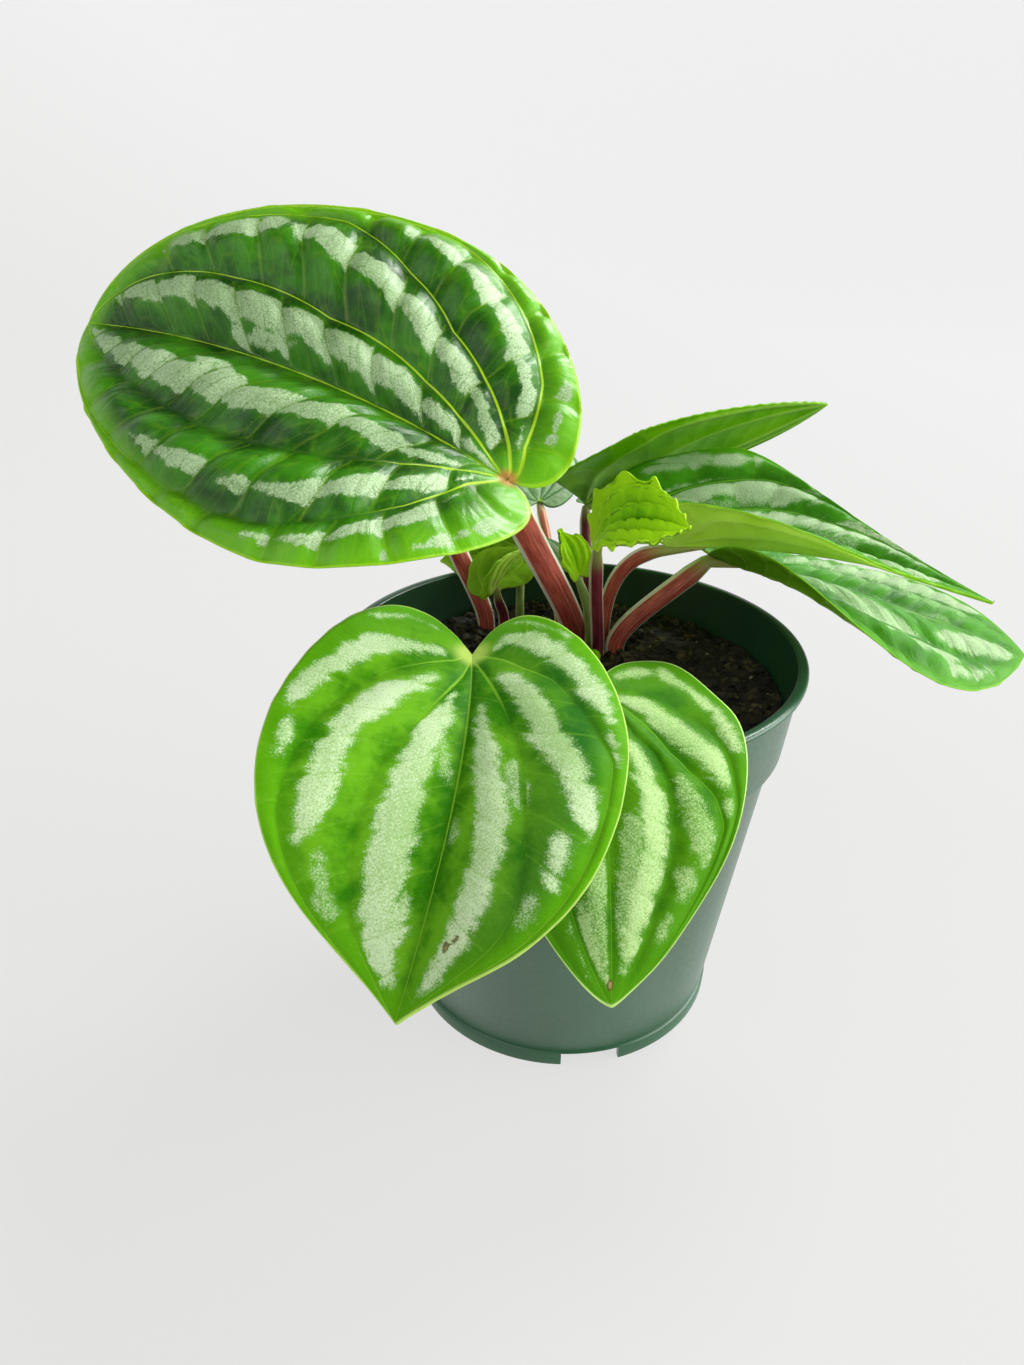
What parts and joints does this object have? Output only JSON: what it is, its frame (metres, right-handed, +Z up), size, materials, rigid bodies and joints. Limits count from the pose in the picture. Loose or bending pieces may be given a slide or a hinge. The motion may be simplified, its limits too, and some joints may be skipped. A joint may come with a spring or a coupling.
{
  "type": "potted plant",
  "caption": "Small foliage plant with heart-shaped, silver-banded leaves on red stalks, in a tapered green plastic nursery pot filled with dark peat",
  "frame": {"origin": "Middle of the footprint of the whole plant and pot, on the plane that the pot's foot stands on", "axes": "+Z is up, along the pot's axis; +X is to the right and +Y away for a viewer in front of the pot, so that the two leaves over the pot's front hang towards -Y and the largest leaf reaches towards -X"},
  "size_m": [0.207, 0.1976, 0.1776],
  "materials": {
    "pot_plastic": "smooth moulded grey-green plastic with a soft sheen",
    "peat": "dark, crumbly, matt peat with paler bits",
    "leaf": "green leaf with silver bands between lime veins, satin to glossy",
    "young_leaf": "lime-green young leaf, satin",
    "red_stalk": "fleshy red leaf stalk, satin",
    "green_stalk": "fleshy pale green leaf stalk, satin"
  },
  "bodies": {
    "root": {"pot": "pot_plastic", "soil": "peat", "blade_high_left": "leaf", "stalk_high_left": "red_stalk", "blade_front_left": "leaf", "stalk_front_left": "red_stalk", "blade_front_right": "leaf", "stalk_front_right": "red_stalk", "blade_right_upper": "leaf", "stalk_right_upper": "red_stalk", "blade_right_lower": "leaf", "stalk_right_lower": "red_stalk", "blade_back_right": "leaf", "stalk_back_right": "red_stalk", "blade_back_left": "leaf", "stalk_back_left": "red_stalk", "blade_young_folded": "young_leaf", "stalk_young_folded": "red_stalk", "blade_back_pale": "leaf", "stalk_back_pale": "red_stalk", "blade_inner_left": "young_leaf", "stalk_inner_left": "green_stalk", "blade_inner_cupped": "young_leaf", "stalk_inner_cupped": "red_stalk", "blade_inner_grey": "leaf", "stalk_inner_grey": "red_stalk", "blade_inner_tiny": "young_leaf", "stalk_inner_tiny": "green_stalk", "bud": "young_leaf"}
  },
  "joints": []
}
